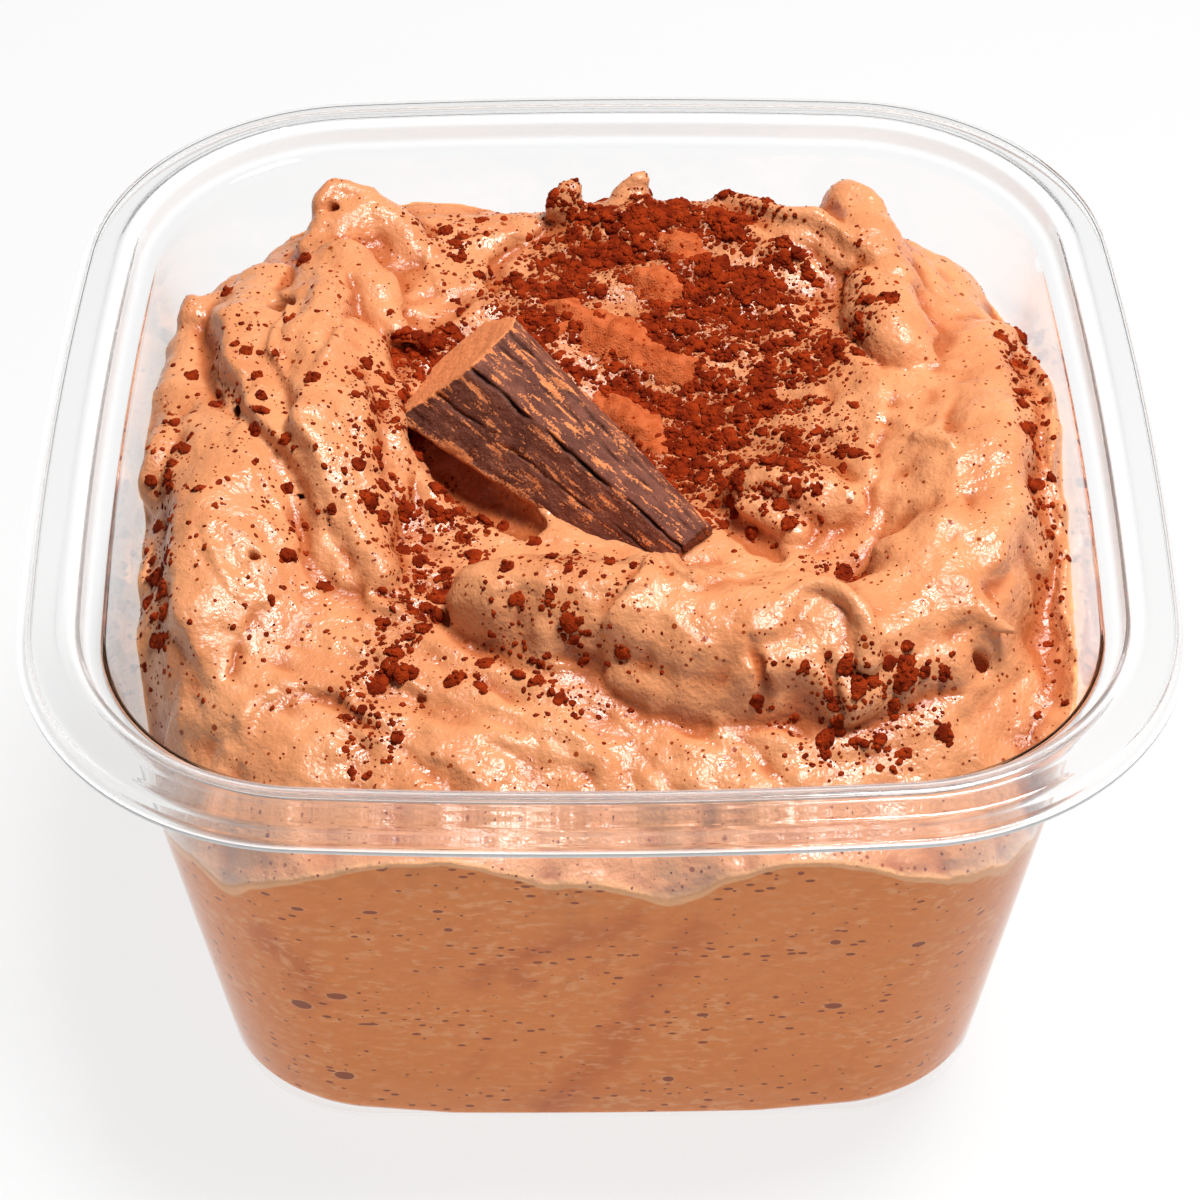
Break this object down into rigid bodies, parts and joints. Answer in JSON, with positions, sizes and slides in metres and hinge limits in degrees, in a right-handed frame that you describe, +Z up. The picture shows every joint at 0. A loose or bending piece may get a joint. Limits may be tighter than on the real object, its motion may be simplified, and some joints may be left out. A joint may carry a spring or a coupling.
{
  "type": "chocolate mousse in a square tub",
  "caption": "Whipped chocolate mousse, swirled and dusted with cocoa, filling a clear square tub, with a broken chunk of dark chocolate on top.",
  "frame": {"origin": "middle of the tub's flat underside", "axes": "+Z up through the mouth of the tub, +X to the right, -Y towards the front side, where the mousse's edge on the wall is lowest"},
  "size_m": [0.118, 0.118, 0.0674],
  "materials": {
    "clear_plastic": "clear thermoformed sheet, glossy",
    "mousse": "whipped chocolate mousse, satin with small wet glints",
    "dark_chocolate": "broken dark chocolate, satin, grained along its length",
    "cocoa_powder": "dry cocoa powder, matte"
  },
  "bodies": {
    "root": {"tub": "clear_plastic", "mousse": "mousse", "chocolate_chunk": "dark_chocolate"}
  },
  "joints": []
}
